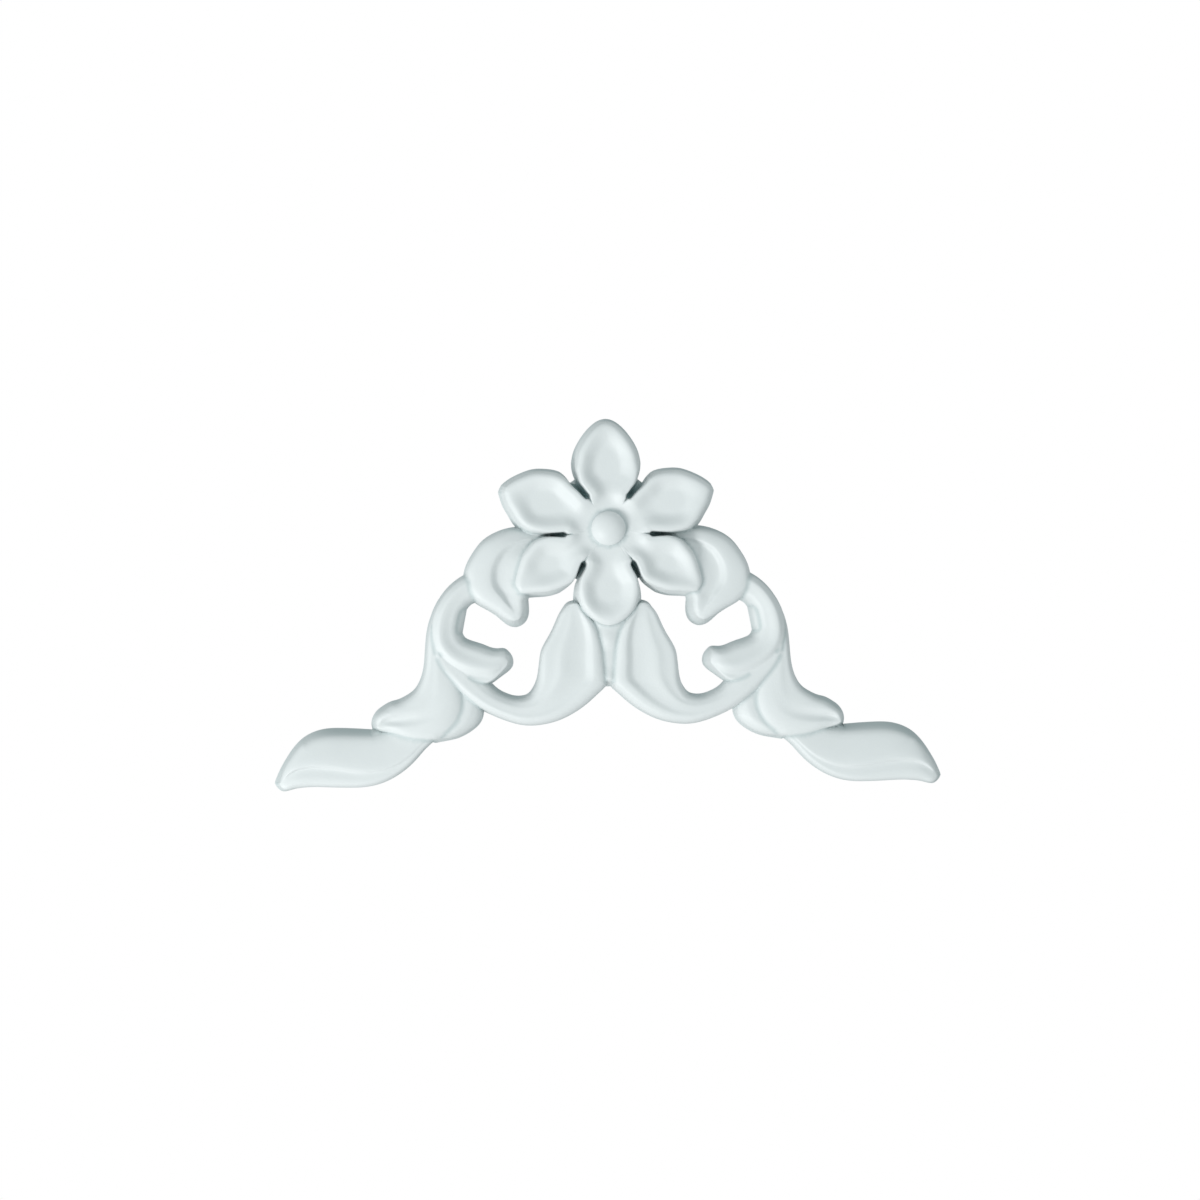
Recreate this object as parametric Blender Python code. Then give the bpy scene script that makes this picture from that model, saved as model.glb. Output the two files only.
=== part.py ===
# Flexible applique: a six-petalled flower over two mirrored acanthus scrolls, cast in one piece.
# It lies against a wall: +X right, +Z up, the carving faces -Y and the flat back is the plane y = 0.
# The origin is the centre of the flower on the back. Every leaf is a closed body lofted between
# pairs of edge points (ribs), with crest and valley lines across it, and a union joins them all.
import math

import bmesh
import bpy
import numpy as np

# Millimetres are used throughout and turned into metres when a mesh is made
MM = 0.001

# Heights above the back plane
BUTTON_TOP = 9.0
BUTTON_SPRING = 7.0
PETAL_RIM = 7.9
HUB_RIM = 6.8
DISH_FLOOR = 6.5
TIP_DROP = 0.9
SLIT_FLOOR = 1.2
SLIT_PLATE_EDGE = 1.0

# Plan sizes
BUTTON_RADIUS = 3.2
HUB_RADIUS = 2.2
RIM_PLACE = 0.9
BOWL_REACH = 2.6
RIM_START = 3.6
RIM_CLIMB = 3.4
FLOOR_RUN = 6.0
FLOWER_REACH = 19.5
SLIT_ROUND = 0.45
PETAL_ROUND = 1.0
ROUND_START = 2.0
ROUND_RUN = 5.0
SLIT_PLATE_RADIUS = 11.0
RIB_GROWTH = 0.35
TIP_LENGTH = 2.5
TIP_FADE = 4.0
PETAL_SPREAD = 0.85
UPRIGHT_WALL = 3.0
LEAN_RUN = 4.0
BACK_OVERRUN = 0.6
FOOT_STEP = 0.05
SHARP_ANGLE = 42

# The inner ends of the three slits on the left of the flower; the right side mirrors them
SLIT_HIGH = (-3.5, 5.6)
SLIT_MID = (-7.7, -1.1)
SLIT_LOW = (-4.5, -6.0)

# Left edges of the upright and the hanging petal, from slit to tip; their right edges mirror them.
# The two left side petals are given as ribs from the slits to the tip: lower and upper edge point.
TOP_PETAL = [
    SLIT_HIGH, (-3.5, 6.2), (-4.0, 6.8), (-4.6, 7.6), (-5.3, 8.5), (-5.7, 9.8), (-5.8, 11.3),
    (-5.6, 12.8), (-5.2, 14.4), (-4.2, 16.3), (-2.9, 18.0), (-1.7, 19.1), (-0.8, 19.6), (-0.15, 19.75)]
LOW_PETAL = [
    SLIT_LOW, (-4.2, -6.5), (-4.3, -7.2), (-4.8, -8.1), (-5.4, -9.2), (-5.7, -10.4), (-5.7, -11.8),
    (-5.5, -13.2), (-5.0, -14.5), (-4.1, -15.8), (-2.7, -17.0), (-1.5, -17.7), (-0.7, -17.95),
    (-0.15, -18.05)]
UPPER_PETAL = [
    (SLIT_MID, SLIT_HIGH), ((-8.1, -0.7), (-4.0, 5.5)), ((-8.9, -0.7), (-4.7, 6.1)),
    ((-10.3, -0.8), (-5.7, 7.2)), ((-11.8, -0.8), (-6.7, 8.1)), ((-13.4, -0.6), (-7.9, 9.3)),
    ((-14.8, -0.2), (-9.6, 10.2)), ((-16.0, 0.6), (-11.5, 10.5)), ((-17.0, 1.8), (-13.4, 10.5)),
    ((-17.8, 3.2), (-15.2, 10.0)), ((-18.6, 4.6), (-17.0, 9.2)), ((-19.1, 6.0), (-18.3, 8.4)),
    ((-19.4, 7.0), (-19.0, 7.8))]
LOWER_PETAL = [
    (SLIT_LOW, SLIT_MID), ((-5.0, -6.3), (-8.1, -1.5)), ((-5.4, -7.1), (-8.9, -1.5)),
    ((-5.8, -8.3), (-10.4, -1.4)), ((-6.4, -9.5), (-11.8, -1.5)), ((-7.9, -10.5), (-13.4, -2.1)),
    ((-9.8, -11.3), (-14.7, -3.3)), ((-11.5, -11.7), (-15.8, -4.7)), ((-13.1, -11.8), (-16.5, -6.3)),
    ((-14.6, -11.9), (-17.0, -7.9)), ((-15.9, -12.0), (-17.4, -9.4)), ((-16.8, -11.8), (-17.4, -10.8))]

# Ribs of the leaves on the left, from the hidden root to the tip: outer edge point, inner edge
# point. The lines along each leaf are listed from the outer edge to the inner one. Each has a kind
# (round, or sharp like a fold), its place across the leaf and its height, both from root to tip.
CRESCENT = [
    ((-11.1, -0.1), (-9.6, -3.6)), ((-14.4, -0.2), (-11.6, -4.4)), ((-17.2, -0.2), (-12.9, -5.1)),
    ((-20.0, -0.9), (-13.8, -5.9)), ((-22.6, -2.4), (-14.4, -6.6)), ((-24.4, -4.6), (-14.6, -7.4)),
    ((-25.7, -7.0), (-14.7, -8.3)), ((-26.2, -9.6), (-14.8, -9.4)), ((-25.7, -11.6), (-15.0, -10.5)),
    ((-24.2, -13.2), (-15.1, -11.6)), ((-22.4, -14.3), (-15.8, -12.7)), ((-20.5, -15.4), (-16.0, -13.9)),
    ((-19.3, -16.3), (-16.0, -15.1)), ((-18.4, -16.9), (-16.1, -15.9)), ((-17.7, -17.1), (-16.4, -16.5)),
    ((-17.2, -17.0), (-16.9, -16.9))]
CRESCENT_LINES = [
    ("sharp", (0.0,), (2.6, 4.9, 5.7, 5.8, 5.7, 5.2)),
    ("round", (0.36, 0.34, 0.34, 0.42, 0.44, 0.45), (2.8, 5.8, 6.4, 6.4, 6.0, 5.3)),
    ("round", (0.50, 0.48, 0.48, 0.56, 0.57, 0.55), (2.6, 4.9, 5.4, 5.5, 5.9, 5.3)),
    ("round", (0.84,), (2.8, 5.6, 6.1, 6.1, 5.9, 5.2)),
    ("sharp", (1.0,), (2.6, 5.5, 5.9, 5.9, 5.7, 5.1))]
SCROLL = [
    ((-24.0, -8.1), (-22.6, -12.2)), ((-26.3, -9.0), (-24.2, -12.6)), ((-28.3, -10.3), (-25.8, -13.2)),
    ((-29.9, -11.9), (-26.8, -14.2)), ((-31.2, -13.8), (-27.5, -15.4)), ((-32.1, -15.7), (-27.8, -16.7)),
    ((-32.6, -17.8), (-28.0, -18.1)), ((-32.8, -19.6), (-27.9, -19.2)), ((-32.6, -21.5), (-27.4, -20.3)),
    ((-31.7, -23.5), (-26.4, -21.0)), ((-30.2, -25.3), (-25.1, -21.5)), ((-28.2, -26.7), (-23.7, -22.0)),
    ((-26.1, -27.6), (-22.3, -22.6)), ((-23.9, -28.1), (-20.9, -22.9)), ((-22.2, -28.1), (-19.8, -22.9)),
    ((-20.8, -27.1), (-19.3, -23.2)), ((-19.9, -26.3), (-19.0, -23.6)), ((-19.2, -25.6), (-18.8, -24.1)),
    ((-18.9, -25.1), (-18.8, -24.7))]
SCROLL_LINES = [
    ("sharp", (0.0,), (5.2, 5.3, 5.3, 5.7, 5.2)),
    ("sharp", (0.12, 0.12, 0.16, 0.20, 0.40), (5.45, 5.55, 5.4, 5.35, 5.2)),
    ("round", (0.30, 0.30, 0.34, 0.46, 0.56), (5.7, 6.0, 6.0, 6.4, 5.7)),
    ("round", (0.72, 0.70, 0.66, 0.74, 0.80), (5.4, 5.5, 5.4, 6.1, 5.6)),
    ("sharp", (1.0,), (4.8, 4.8, 4.7, 5.5, 5.4))]
LEAF = [
    ((-32.9, -21.6), (-28.9, -20.7)), ((-32.2, -24.8), (-27.0, -23.5)), ((-29.8, -27.8), (-24.8, -25.9)),
    ((-26.8, -30.6), (-22.9, -28.3)), ((-23.5, -33.0), (-21.1, -30.2)), ((-20.0, -34.7), (-19.0, -31.3)),
    ((-16.2, -35.9), (-17.2, -31.7)), ((-12.5, -35.9), (-15.4, -31.5)), ((-8.8, -34.9), (-14.1, -30.6)),
    ((-5.1, -32.8), (-13.2, -29.0)), ((-2.5, -30.6), (-12.8, -27.6)), ((-0.9, -29.0), (-12.6, -26.2)),
    ((-0.7, -27.2), (-12.4, -24.4)), ((-1.0, -24.4), (-12.0, -22.5)), ((-1.3, -21.8), (-11.0, -20.6)),
    ((-2.0, -19.2), (-9.9, -18.6)), ((-3.1, -17.2), (-8.9, -16.4)), ((-4.4, -15.4), (-8.1, -15.0)),
    ((-5.1, -14.4), (-7.4, -14.1)), ((-5.9, -13.8), (-6.7, -13.8))]
LEAF_LINES = [
    ("sharp", (0.0,), (4.8, 5.0, 5.2, 5.4, 5.3, 5.0)),
    ("round", (0.26, 0.26, 0.24, 0.20, 0.20, 0.30), (5.3, 5.7, 5.9, 6.3, 6.2, 5.5)),
    ("round", (0.42, 0.44, 0.42, 0.35, 0.36, 0.45), (5.3, 5.65, 5.7, 5.5, 5.5, 5.4)),
    ("sharp", (0.58, 0.62, 0.66, 0.69, 0.68, 0.62), (5.2, 5.55, 5.8, 6.1, 5.8, 5.4)),
    ("round", (0.80, 0.82, 0.84, 0.88, 0.86, 0.80), (5.0, 5.3, 5.5, 5.7, 5.6, 5.3)),
    ("sharp", (1.0,), (4.5, 4.7, 4.9, 5.3, 5.3, 5.2))]
WEB = [
    ((-3.2, -15.2), (3.2, -15.2)), ((-2.6, -18.0), (2.6, -18.0)), ((-1.7, -21.0), (1.7, -21.0)),
    ((-1.4, -24.0), (1.4, -24.0)), ((-1.2, -26.8), (1.2, -26.8)), ((-0.7, -28.7), (0.7, -28.7))]
WEB_LINES = [
    ("sharp", (0.0,), (5.4,)),
    ("round", (0.5,), (5.7, 5.7, 5.6, 6.1, 5.6, 5.6, 5.5, 6.0, 5.6)),
    ("sharp", (1.0,), (5.4,))]
STEM = [
    ((-31.0, -13.3), (-27.0, -14.4)), ((-32.6, -17.1), (-27.8, -18.5)), ((-33.3, -20.8), (-28.4, -22.6)),
    ((-33.6, -24.6), (-28.4, -26.3)), ((-34.2, -27.5), (-27.8, -29.7)), ((-35.4, -29.8), (-27.4, -32.3)),
    ((-37.1, -31.2), (-28.0, -34.9)), ((-38.8, -32.1), (-29.5, -37.1)), ((-40.2, -32.6), (-31.9, -38.6)),
    ((-41.5, -33.4), (-34.7, -39.0)), ((-42.5, -34.2), (-37.6, -38.5)), ((-43.2, -35.2), (-40.3, -37.6)),
    ((-43.4, -36.0), (-42.2, -37.1)), ((-43.4, -36.5), (-43.0, -36.8))]
STEM_LINES = [
    ("sharp", (0.0,), (4.4, 4.7, 4.7, 4.5, 4.2)),
    ("round", (0.14, 0.16, 0.25, 0.14, 0.20), (4.7, 5.1, 5.3, 5.2, 4.6)),
    ("round", (0.34, 0.36, 0.46, 0.30, 0.40), (4.8, 5.3, 5.3, 4.4, 4.5)),
    ("round", (0.62, 0.62, 0.66, 0.55, 0.60), (4.7, 5.2, 5.5, 5.2, 4.6)),
    ("sharp", (1.0,), (4.2, 4.4, 4.5, 4.5, 4.2))]
LOBE = [
    ((-30.3, -28.2), (-24.3, -30.2)), ((-29.9, -30.4), (-24.0, -32.8)), ((-30.1, -32.5), (-24.3, -35.0)),
    ((-30.6, -34.3), (-25.6, -36.6)), ((-31.6, -36.0), (-27.7, -37.9)), ((-32.9, -37.3), (-29.9, -38.6)),
    ((-34.2, -38.2), (-32.3, -38.9))]
LOBE_LINES = [
    ("sharp", (0.0,), (3.6, 3.9, 3.7)),
    ("sharp", (0.66, 0.62, 0.60), (4.3, 4.9, 4.4)),
    ("sharp", (1.0,), (3.6, 3.8, 3.7))]
TAIL = [
    ((-34.0, -34.5), (-32.9, -38.9)), ((-37.2, -36.3), (-34.7, -40.5)), ((-40.1, -37.6), (-36.7, -42.7)),
    ((-43.1, -38.0), (-39.2, -44.8)), ((-46.1, -37.9), (-42.2, -46.4)), ((-48.9, -37.8), (-45.5, -47.2)),
    ((-51.7, -37.8), (-48.9, -47.3)), ((-54.1, -38.2), (-52.2, -47.2)), ((-56.3, -39.2), (-55.0, -47.1)),
    ((-58.0, -40.7), (-57.3, -47.2)), ((-59.3, -42.4), (-58.8, -47.4)), ((-60.5, -44.4), (-60.1, -47.75)),
    ((-61.2, -46.0), (-60.9, -47.7)), ((-61.55, -46.8), (-61.45, -47.2))]
TAIL_LINES = [
    ("sharp", (0.0,), (3.5, 3.7, 3.8, 3.7, 3.2)),
    ("sharp", (0.74, 0.76, 0.62, 0.44, 0.16), (4.1, 4.8, 5.2, 4.9, 3.5)),
    ("round", (0.83, 0.83, 0.69, 0.52, 0.32), (4.0, 4.3, 4.25, 4.05, 3.4)),
    ("round", (0.92, 0.92, 0.86, 0.76, 0.62), (4.0, 4.3, 4.4, 4.3, 3.4)),
    ("sharp", (1.0,), (3.5, 3.8, 3.8, 3.7, 3.2))]

# How far each leaf's wall leans out at the back, and the radius its edge is rounded by, both along
# the outer and then the inner edge, from root to tip
CRESCENT_SPREAD = ((0.45, 0.45, 0.45, 0.45, 0.9), (0.45, 0.45, 0.45, 1.0, 0.9))
CRESCENT_ROUND = ((1.1,), (1.1,))
SCROLL_SPREAD = ((0.45, 0.45, 0.45, 0.45, 0.8), (0.45, 0.45, 0.45, 0.5, 0.8))
SCROLL_ROUND = ((1.1, 1.1, 0.9, 0.6, 0.7), (1.8, 2.0, 1.9, 1.6, 1.2))
LEAF_SPREAD = ((0.3,), (0.4, 0.4, 0.3, 0.1, 0.1, 0.1))
LEAF_ROUND = ((1.1,), (1.6, 1.8, 1.6, 0.9, 0.8, 0.8))
WEB_SPREAD = ((0.45,), (0.45,))
WEB_ROUND = ((1.1,), (1.1,))
STEM_SPREAD = ((0.45, 0.45, 0.5, 0.7, 0.5), (0.45,))
STEM_ROUND = ((0.9, 0.9, 1.2, 1.2, 0.8), (1.0,))
LOBE_SPREAD = ((0.45,), (0.45,))
LOBE_ROUND = ((1.0,), (1.3,))
TAIL_SPREAD = ((0.5, 0.7, 0.8, 0.7, 0.6), (0.2, 0.2, 0.2, 0.2, 0.4))
TAIL_ROUND = ((1.0, 1.0, 1.0, 0.9, 0.7), (0.9, 0.9, 0.8, 0.8, 0.7))


def curve(points, at):
    """Natural cubic spline through evenly spaced control values, read at fractions 0 to 1."""
    p = np.asarray(points, float)
    if p.ndim == 1:
        p = p[:, None]
    n = len(p)
    if n == 1:
        return np.repeat(p, len(at), axis=0)
    bend = np.zeros_like(p)
    if n > 2:
        system = 4 * np.eye(n - 2) + np.eye(n - 2, k=1) + np.eye(n - 2, k=-1)
        bend[1:-1] = np.linalg.solve(system, 6 * (p[2:] - 2 * p[1:-1] + p[:-2]))
    t = np.clip(at, 0, 1) * (n - 1)
    i = np.minimum(t.astype(int), n - 2)
    f = (t - i)[:, None]
    g = 1 - f
    return g * p[i] + f * p[i + 1] + ((g ** 3 - g) * bend[i] + (f ** 3 - f) * bend[i + 1]) / 6


def step(t, start, end):
    """Goes from 0 to 1 between two lines, level at a round one and steep at a sharp one."""
    if start == "round" and end == "round":
        return t * t * (3 - 2 * t)
    if start == "round":
        return t * t
    if end == "round":
        return 1 - (1 - t) ** 2
    return t


def edge_distance(plan, path):
    """Distance from each plan point to the nearest straight piece of a path."""
    start, way = path[:-1], np.diff(path, axis=0)
    length = np.maximum(np.sum(way ** 2, axis=1), 1e-12)
    to = plan[:, None, :] - start
    share = np.clip(np.sum(to * way, axis=2) / length, 0, 1)
    to -= share[:, :, None] * way
    return np.sqrt(np.sum(to ** 2, axis=2).min(axis=1))


def edge_fall(distance, radius, reach=np.inf):
    """How far the surface has dropped, a quarter circle, at this distance from its edge. Where the
    leaf's half width, its reach, is less than the radius, the circle is narrowed to it."""
    inside = np.clip(distance / np.maximum(np.minimum(radius, reach), 0.05), 0, 1)
    return radius * (1 - np.sqrt(1 - (1 - inside) ** 2))


def across(lines, at, steps):
    """Places and heights over a leaf: rows run from root to tip, columns from edge to edge."""
    place = np.hstack([curve(line[1], at) for line in lines])
    height = np.hstack([curve(line[2], at) for line in lines])
    last = len(lines) - 2
    v, h = [], []
    for k in range(len(lines) - 1):
        f = np.arange(steps) / steps
        if k == 0:
            f = f ** 1.5
        if k == last:
            f = 1 - (1 - f) ** 1.5
        climb = step(f, lines[k][0], lines[k + 1][0])
        v.append(place[:, [k]] + f * (place[:, [k + 1]] - place[:, [k]]))
        h.append(height[:, [k]] + climb * (height[:, [k + 1]] - height[:, [k]]))
    return np.hstack(v + [place[:, -1:]]), np.hstack(h + [height[:, -1:]])


def rim_of_grid(rows, columns):
    """Indices of a grid's outer ring, along the first edge, round the tip and back."""
    grid = np.arange(rows * columns).reshape(rows, columns)
    return np.concatenate([grid[:, 0], grid[-1, 1:], grid[-2::-1, -1], grid[0, -2:0:-1]])


def grid_faces(rows, columns):
    """Quads over a grid of points numbered row by row."""
    grid = np.arange(rows * columns).reshape(rows, columns)
    return np.stack([grid[:-1, :-1], grid[:-1, 1:], grid[1:, 1:], grid[1:, :-1]], -1).reshape(-1, 4)


def spread_outward(ring, spread):
    """Moves a closed plan outline outward by the given amounts."""
    along = np.roll(ring, -1, axis=0) - np.roll(ring, 1, axis=0)
    along /= np.maximum(np.linalg.norm(along, axis=1, keepdims=True), 1e-9)
    after = np.roll(ring, -1, axis=0)
    area = np.sum(ring[:, 0] * after[:, 1] - ring[:, 1] * after[:, 0])
    out = np.column_stack([along[:, 1], -along[:, 0]]) * np.sign(area)
    return ring + out * np.reshape(spread, (-1, 1))


def closed_body(name, plan, height, faces, ring, spread, mirror=False):
    """Makes a body from its carved top, with drafted walls down to just behind the back plane."""
    # Each foot ends at a depth of its own, so that no two of them share a plane. The walls reach
    # their full spread at the back plane and run on to the foot.
    depth = BACK_OVERRUN + FOOT_STEP * len(bpy.data.objects)
    foot = spread_outward(plan[ring], np.asarray(spread) * (1 + depth / height[ring]))
    points = np.vstack([
        np.column_stack([plan[:, 0], -height, plan[:, 1]]),
        np.column_stack([foot[:, 0], np.full(len(foot), depth), foot[:, 1]])])
    if mirror:
        points[:, 0] *= -1
    low = len(plan) + np.arange(len(ring))
    walls = np.stack([ring, np.roll(ring, -1), np.roll(low, -1), low], -1)
    mesh = bpy.data.meshes.new(name)
    mesh.from_pydata((points * MM).tolist(), [], [list(map(int, f)) for f in [*faces, *walls, low[::-1]]])
    body = bmesh.new()
    body.from_mesh(mesh)
    bmesh.ops.recalc_face_normals(body, faces=body.faces)
    body.to_mesh(mesh)
    body.free()
    item = bpy.data.objects.new(name, mesh)
    bpy.context.scene.collection.objects.link(item)
    return item


def leaf(name, ribs, lines, rows, steps, spread, radius, mirror=False):
    """A leaf lofted over its ribs, with edges that lie RIB_GROWTH beyond the ends of the ribs.

    Towards the tip the growth runs out and the wall leans out more instead, and the carving fades
    to its mean height.
    """
    at = np.linspace(0, 1, rows)
    outer = curve([rib[0] for rib in ribs], at)
    inner = curve([rib[1] for rib in ribs], at)
    run = np.linalg.norm(np.diff((outer + inner) / 2, axis=0), axis=1)
    to_tip = np.append(np.cumsum(run[::-1])[::-1], 0)[:, None]
    growth = RIB_GROWTH * step(np.clip(to_tip / TIP_LENGTH, 0, 1), "sharp", "round")
    way = (inner - outer) / np.linalg.norm(inner - outer, axis=1, keepdims=True)
    outer, inner = outer - growth * way, inner + growth * way
    v, h = across(lines, at, steps)
    plan = outer[:, None, :] + v[:, :, None] * (inner - outer)[:, None, :]
    edge = np.vstack([plan[:, 0], plan[-1, 1:], plan[-2::-1, -1]])
    plan = plan.reshape(-1, 2)
    mean = h.mean(axis=1, keepdims=True)
    h = mean + (h - mean) * step(np.clip(to_tip / TIP_FADE, 0, 1), "round", "round")
    distance = edge_distance(plan, edge).reshape(v.shape)
    one, two = curve(radius[0], at), curve(radius[1], at)
    h -= edge_fall(distance, one + (two - one) * v, distance.max(axis=1, keepdims=True))
    ring = rim_of_grid(*v.shape)
    one, two = curve(spread[0], at), curve(spread[1], at)
    lean = (one + (two - one) * v + RIB_GROWTH - growth).ravel()[ring]
    return closed_body(name, plan, h.ravel(), grid_faces(*v.shape), ring, lean, mirror)


def petals_around():
    """The six petals in order round the flower, each as its ribs from slit to tip."""
    def mirrored(ribs):
        return [((-b[0], b[1]), (-a[0], a[1])) for a, b in ribs]

    top = [((x, z), (-x, z)) for x, z in TOP_PETAL]
    low = [((-x, z), (x, z)) for x, z in LOW_PETAL]
    return [top, mirrored(UPPER_PETAL), mirrored(LOWER_PETAL), low, LOWER_PETAL, UPPER_PETAL]


def petal_plan(ribs, neck_rows, rows, columns):
    """Plan points of one petal: straight lines from the hub to the slits' ends, then its ribs."""
    ribs = np.array(ribs)
    shares = np.linspace(0, 1, neck_rows)[:-1, None]
    at = np.linspace(0, 1, rows)
    hubs = [p / np.linalg.norm(p) * HUB_RADIUS for p in ribs[0]]
    one = np.vstack([hubs[0] + shares * (ribs[0, 0] - hubs[0]), curve(ribs[:, 0], at)])
    two = np.vstack([hubs[1] + shares * (ribs[0, 1] - hubs[1]), curve(ribs[:, 1], at)])
    v = 0.6 * (1 - np.cos(np.linspace(0, math.pi, columns))) / 2 + 0.4 * np.linspace(0, 1, columns)
    return one[:, None, :] + v[None, :, None] * (two - one)[:, None, :]


def petal_height(plan, distance, inward, to_slit):
    """A soft rim along the edges and round the slits' ends, over a bowl; both meet at the button."""
    out = np.linalg.norm(plan, axis=-1)
    share = step(np.clip((inward - RIM_PLACE) / BOWL_REACH, 0, 1), "round", "round")
    climb = step(np.clip((out - RIM_START) / RIM_CLIMB, 0, 1), "round", "round")
    rim = HUB_RIM + (PETAL_RIM - HUB_RIM) * climb - TIP_DROP * (out / FLOWER_REACH) ** 4
    sink = step(np.clip((out - RIM_START) / FLOOR_RUN, 0, 1), "round", "round")
    floor = HUB_RIM + (DISH_FLOOR - HUB_RIM) * sink
    radius = SLIT_ROUND + (PETAL_ROUND - SLIT_ROUND) * np.clip((to_slit - ROUND_START) / ROUND_RUN, 0, 1)
    return rim - (rim - floor) * share - edge_fall(distance, radius)


def flower(name, neck_rows, rows, columns):
    """Six dished petals in one skin: they share the ridges between the slits and the button."""
    plans = [petal_plan(ribs, neck_rows, rows, columns) for ribs in petals_around()]
    last = neck_rows - 1
    outline = np.vstack([np.vstack([p[last:, 0], p[-1, 1:], p[-2:last - 1:-1, -1]]) for p in plans])
    plan = np.array(plans)
    shape = plan.shape[:3]
    points = plan.reshape(-1, 2)
    distance = edge_distance(points, outline).reshape(shape)
    # How far inside the rims a point lies: the cube root of one over the sum of the inverse cubes of
    # its distances to the six slits, with the petals' edges that go on from them
    inward = np.zeros(shape)
    for one, two in zip(plans, plans[1:] + plans[:1]):
        slit = np.vstack([one[:last - 1:-1, -1], two[last:, 0]])
        inward += np.maximum(edge_distance(points, slit), 0.01).reshape(shape) ** -3
    inward **= -1 / 3
    ends = np.array([(s * x, z) for x, z in (SLIT_HIGH, SLIT_MID, SLIT_LOW) for s in (1, -1)])
    to_slit = np.linalg.norm(plan[..., None, :] - ends, axis=-1).min(axis=-1)
    height = petal_height(plan, distance, inward, to_slit).ravel()
    # Neighbouring petals share the points of the ridge between them
    _, first, same = np.unique(np.round(points, 4), axis=0, return_index=True, return_inverse=True)
    ids = same.reshape(shape)
    ring = np.concatenate([np.concatenate([i[last:, 0], i[-1, 1:], i[-2:last:-1, -1]]) for i in ids])
    hub = np.concatenate([i[0, :-1] for i in ids])
    quads = np.concatenate([
        np.stack([i[:-1, :-1], i[:-1, 1:], i[1:, 1:], i[1:, :-1]], -1).reshape(-1, 4) for i in ids])
    fan = np.column_stack([np.roll(hub, -1), hub, np.full(len(hub), len(first))])
    plan, height = np.vstack([points[first], [[0, 0]]]), np.append(height[first], HUB_RIM)
    # The walls stand upright in the slits and lean out beyond them
    gap = np.linalg.norm(plan[ring][:, None, :] - ends, axis=2).min(axis=1)
    lean = PETAL_SPREAD * np.clip((gap - UPRIGHT_WALL) / LEAN_RUN, 0, 1)
    return closed_body(name, plan, height, [*quads, *fan], ring, lean)


def dome(name, radius, base, top, sides, rings, centre=(0.0, 0.0)):
    """A round dome whose side goes straight down below its springing line."""
    turn = np.linspace(0, 2 * math.pi, sides, endpoint=False)
    rise = np.linspace(0, math.pi / 2, rings + 1)[:-1]
    reach = (radius * np.cos(rise))[:, None]
    plan = np.stack([centre[0] + reach * np.cos(turn), centre[1] + reach * np.sin(turn)], -1).reshape(-1, 2)
    height = np.repeat(base + (top - base) * np.sin(rise), sides)
    grid = np.arange(rings * sides).reshape(rings, sides)
    side = np.roll(grid, -1, axis=1)
    quads = np.stack([grid[:-1], side[:-1], side[1:], grid[1:]], -1).reshape(-1, 4)
    crown = len(plan)
    fan = [(int(a), int(b), crown) for a, b in zip(grid[-1], side[-1])]
    plan = np.vstack([plan, [centre]])
    height = np.append(height, top)
    return closed_body(name, plan, height, [*quads, *fan], grid[0], np.zeros(sides))


def resin_material():
    """Moulded white resin, slightly cool, with a satin face."""
    material = bpy.data.materials.new("white_resin")
    material.use_nodes = True
    shader = material.node_tree.nodes["Principled BSDF"]
    shader.inputs["Base Color"].default_value = (0.80, 0.84, 0.84, 1.0)
    shader.inputs["Roughness"].default_value = 0.42
    shader.inputs["Metallic"].default_value = 0.0
    return material


def join(body, others):
    """Joins all the other bodies to this one in a single union."""
    group = bpy.data.collections.new("forms")
    for other in others:
        group.objects.link(other)
    modifier = body.modifiers.new("join forms", "BOOLEAN")
    modifier.operation = "UNION"
    modifier.solver = "EXACT"
    modifier.operand_type = "COLLECTION"
    modifier.collection = group


def trim(body, cutter):
    """Cuts one body away from another."""
    modifier = body.modifiers.new(f"trim with {cutter.name}", "BOOLEAN")
    modifier.operation = "DIFFERENCE"
    modifier.solver = "EXACT"
    modifier.object = cutter


def settle(body, guides):
    """Keeps the joined shape as the body's own mesh and clears the guides away."""
    graph = bpy.context.evaluated_depsgraph_get()
    mesh = bpy.data.meshes.new_from_object(body.evaluated_get(graph))
    body.modifiers.clear()
    body.data = mesh
    mesh.shade_smooth()
    mesh.set_sharp_from_angle(angle=math.radians(SHARP_ANGLE))
    for guide in guides:
        bpy.data.objects.remove(guide)


def back_slab():
    """The block behind the back plane that trims every body flat."""
    mesh = bpy.data.meshes.new("trim_back")
    form = bmesh.new()
    bmesh.ops.create_cube(form, size=1.0)
    for vertex in form.verts:
        vertex.co.x *= 200 * MM
        vertex.co.z = vertex.co.z * 120 * MM - 15 * MM
        vertex.co.y = (vertex.co.y + 0.5) * 5 * MM
    form.to_mesh(mesh)
    form.free()
    slab = bpy.data.objects.new("trim_back", mesh)
    bpy.context.scene.collection.objects.link(slab)
    return slab


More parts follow.
